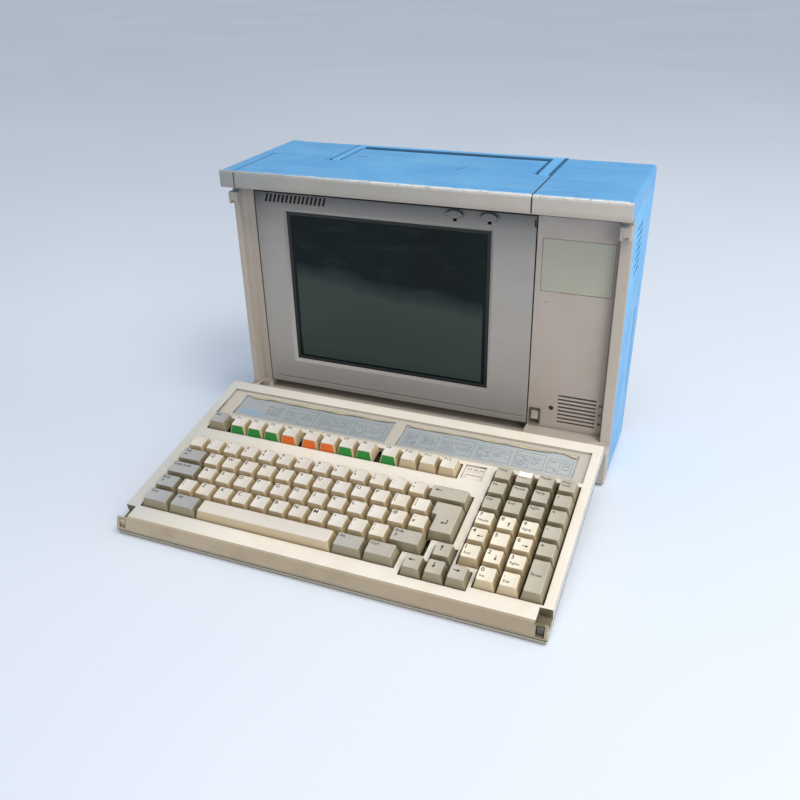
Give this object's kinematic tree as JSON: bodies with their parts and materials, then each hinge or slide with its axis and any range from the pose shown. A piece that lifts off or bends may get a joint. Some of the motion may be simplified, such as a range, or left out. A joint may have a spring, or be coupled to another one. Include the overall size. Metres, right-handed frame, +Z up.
{
  "type": "luggable computer",
  "caption": "Luggable computer: upright case with a built-in flat display, a hinged keyboard that folds up as the front cover, and a bail carrying handle on top.",
  "frame": {"origin": "under the middle of the object, on the surface it stands on", "axes": "+X to the operator's right, +Y to the rear, +Z up"},
  "size_m": [0.396, 0.3768, 0.277],
  "materials": {
    "beige_plastic": "fine moulded texture, slightly yellowed",
    "blue_plastic": "fine moulded texture",
    "steel_sheet": "plated sheet",
    "steel_pin": "turned",
    "connector_black": "satin black",
    "badge_finish": "smooth satin",
    "lamp_lens": "tinted, unlit",
    "circuit_board": "solder mask",
    "cast_alloy": "cast",
    "rubber_feet": "matt",
    "bezel_plastic": "fine moulded texture",
    "lcd": "switched off",
    "screen": "clear with a dark tint",
    "button_cream": "satin",
    "keyboard_cream": "fine moulded texture, slightly yellowed",
    "label_card": "printed card, bare",
    "clear_window": "clear",
    "key_white": "fine sparkle texture, worn smooth",
    "key_grey": "fine sparkle texture, worn smooth"
  },
  "bodies": {
    "tower": {"base_pan": "beige_plastic", "front_frame": "beige_plastic", "side_cover_left": "blue_plastic", "side_cover_right": "blue_plastic", "top_cover_left": "blue_plastic", "top_cover_middle": "blue_plastic", "top_cover_right": "blue_plastic", "visor_trim": "beige_plastic", "rear_panel": "steel_sheet", "rear_connectors": "connector_black", "power_inlet": "connector_black", "control_panel": "beige_plastic", "badge_plate": "badge_finish", "switch_frame": "connector_black", "status_led": "lamp_lens", "speaker": "connector_black", "keyboard_catches": "beige_plastic", "chassis_plate": "steel_sheet", "motherboard": "circuit_board", "power_supply": "steel_sheet", "hard_disk": "cast_alloy", "floppy_drive": "steel_sheet", "fan_housing": "connector_black", "tower_feet": "rubber_feet", "rear_screws": "steel_pin", "keyboard_hinge_pins": "steel_pin", "display_hinge_pins": "steel_pin", "handle_pins": "steel_pin"},
    "display": {"display_bezel": "bezel_plastic", "display_back": "bezel_plastic", "lcd_panel": "lcd", "screen_glass": "screen"},
    "display_latch_left": {"display_latch_left": "bezel_plastic"},
    "display_latch_right": {"display_latch_right": "bezel_plastic"},
    "handle": {"carry_handle": "blue_plastic"},
    "rocker": {"power_rocker": "button_cream"},
    "fan": {"fan_rotor": "connector_black"},
    "eject": {"eject_button": "button_cream"},
    "keyboard": {"keyboard_top_shell": "keyboard_cream", "keyboard_pan": "keyboard_cream", "keyboard_pcb": "circuit_board", "legend_cards": "label_card", "legend_windows": "clear_window", "indicator_panel": "keyboard_cream", "keyboard_feet": "rubber_feet"},
    "keyboard_latch_left": {"keyboard_latch_left": "connector_black"},
    "keyboard_latch_right": {"keyboard_latch_right": "connector_black"},
    "keys_function": {"keys_function": "key_white"},
    "keys_digits": {"keys_digits": "key_white"},
    "keys_upper": {"keys_upper": "key_white"},
    "keys_home": {"keys_home": "key_white"},
    "keys_lower": {"keys_lower": "key_white"},
    "keys_modifiers": {"keys_modifiers": "key_grey"},
    "key_backspace": {"key_backspace": "key_grey"},
    "key_enter": {"key_enter": "key_grey"},
    "keys_arrows": {"keys_arrows": "key_grey"},
    "keys_numpad": {"keys_numpad": "key_white"},
    "keys_navigation": {"keys_navigation": "key_grey"},
    "key_numpad_enter": {"key_numpad_enter": "key_grey"},
    "space_bar": {"space_bar": "key_white"}
  },
  "joints": [
    {"name": "keyboard_hinge", "type": "hinge", "parent": "tower", "child": "keyboard", "pos_m": [0, 0.0344, 0.035], "axis": [-1, 0, 0], "range_deg": [0, 100.24]},
    {"name": "display_tilt", "type": "hinge", "parent": "tower", "child": "display", "pos_m": [0, 0.0774, 0.042], "axis": [-1, 0, 0], "range_deg": [-20, 0]},
    {"name": "display_latch_left_slide", "type": "slide", "parent": "display", "child": "display_latch_left", "axis": [0, 0, 1], "range_m": [-0.003, 0], "stiffness_N_per_m": 300, "springref_m": 0.002},
    {"name": "display_latch_right_slide", "type": "slide", "parent": "display", "child": "display_latch_right", "axis": [0, 0, 1], "range_m": [-0.003, 0], "stiffness_N_per_m": 300, "springref_m": 0.002},
    {"name": "handle_hinge", "type": "hinge", "parent": "tower", "child": "handle", "pos_m": [0, 0.1184, 0.2712], "axis": [1, 0, 0], "range_deg": [0, 100]},
    {"name": "power_rocker_pivot", "type": "hinge", "parent": "tower", "child": "rocker", "pos_m": [0.1202, 0.0754, 0.0485], "axis": [1, 0, 0], "range_deg": [0, 14]},
    {"name": "fan_spin", "type": "hinge", "parent": "tower", "child": "fan", "pos_m": [-0.1875, 0.1414, 0.205], "axis": [1, 0, 0], "continuous": true},
    {"name": "eject_button_slide", "type": "slide", "parent": "tower", "child": "eject", "axis": [1, 0, 0], "range_m": [-0.003, 0], "stiffness_N_per_m": 300, "springref_m": 0.002},
    {"name": "keyboard_latch_left_slide", "type": "slide", "parent": "keyboard", "child": "keyboard_latch_left", "axis": [0, -0.984, -0.1779], "range_m": [-0.003, 0], "stiffness_N_per_m": 300, "springref_m": 0.002},
    {"name": "keyboard_latch_right_slide", "type": "slide", "parent": "keyboard", "child": "keyboard_latch_right", "axis": [0, -0.984, -0.1779], "range_m": [-0.003, 0], "stiffness_N_per_m": 300, "springref_m": 0.002},
    {"name": "keys_function_travel", "type": "slide", "parent": "keyboard", "child": "keys_function", "axis": [0, -0.1779, 0.984], "range_m": [-0.0035, 0], "stiffness_N_per_m": 400, "springref_m": 0.003},
    {"name": "keys_digits_travel", "type": "slide", "parent": "keyboard", "child": "keys_digits", "axis": [0, -0.1779, 0.984], "range_m": [-0.0035, 0], "stiffness_N_per_m": 400, "springref_m": 0.003},
    {"name": "keys_upper_travel", "type": "slide", "parent": "keyboard", "child": "keys_upper", "axis": [0, -0.1779, 0.984], "range_m": [-0.0035, 0], "stiffness_N_per_m": 400, "springref_m": 0.003},
    {"name": "keys_home_travel", "type": "slide", "parent": "keyboard", "child": "keys_home", "axis": [0, -0.1779, 0.984], "range_m": [-0.0035, 0], "stiffness_N_per_m": 400, "springref_m": 0.003},
    {"name": "keys_lower_travel", "type": "slide", "parent": "keyboard", "child": "keys_lower", "axis": [0, -0.1779, 0.984], "range_m": [-0.0035, 0], "stiffness_N_per_m": 400, "springref_m": 0.003},
    {"name": "keys_modifiers_travel", "type": "slide", "parent": "keyboard", "child": "keys_modifiers", "axis": [0, -0.1779, 0.984], "range_m": [-0.0035, 0], "stiffness_N_per_m": 400, "springref_m": 0.003},
    {"name": "key_backspace_travel", "type": "slide", "parent": "keyboard", "child": "key_backspace", "axis": [0, -0.1779, 0.984], "range_m": [-0.0035, 0], "stiffness_N_per_m": 400, "springref_m": 0.003},
    {"name": "key_enter_travel", "type": "slide", "parent": "keyboard", "child": "key_enter", "axis": [0, -0.1779, 0.984], "range_m": [-0.0035, 0], "stiffness_N_per_m": 400, "springref_m": 0.003},
    {"name": "keys_arrows_travel", "type": "slide", "parent": "keyboard", "child": "keys_arrows", "axis": [0, -0.1779, 0.984], "range_m": [-0.0035, 0], "stiffness_N_per_m": 400, "springref_m": 0.003},
    {"name": "keys_numpad_travel", "type": "slide", "parent": "keyboard", "child": "keys_numpad", "axis": [0, -0.1779, 0.984], "range_m": [-0.0035, 0], "stiffness_N_per_m": 400, "springref_m": 0.003},
    {"name": "keys_navigation_travel", "type": "slide", "parent": "keyboard", "child": "keys_navigation", "axis": [0, -0.1779, 0.984], "range_m": [-0.0035, 0], "stiffness_N_per_m": 400, "springref_m": 0.003},
    {"name": "key_numpad_enter_travel", "type": "slide", "parent": "keyboard", "child": "key_numpad_enter", "axis": [0, -0.1779, 0.984], "range_m": [-0.0035, 0], "stiffness_N_per_m": 400, "springref_m": 0.003},
    {"name": "space_bar_travel", "type": "slide", "parent": "keyboard", "child": "space_bar", "axis": [0, -0.1779, 0.984], "range_m": [-0.0035, 0], "stiffness_N_per_m": 400, "springref_m": 0.003}
  ]
}
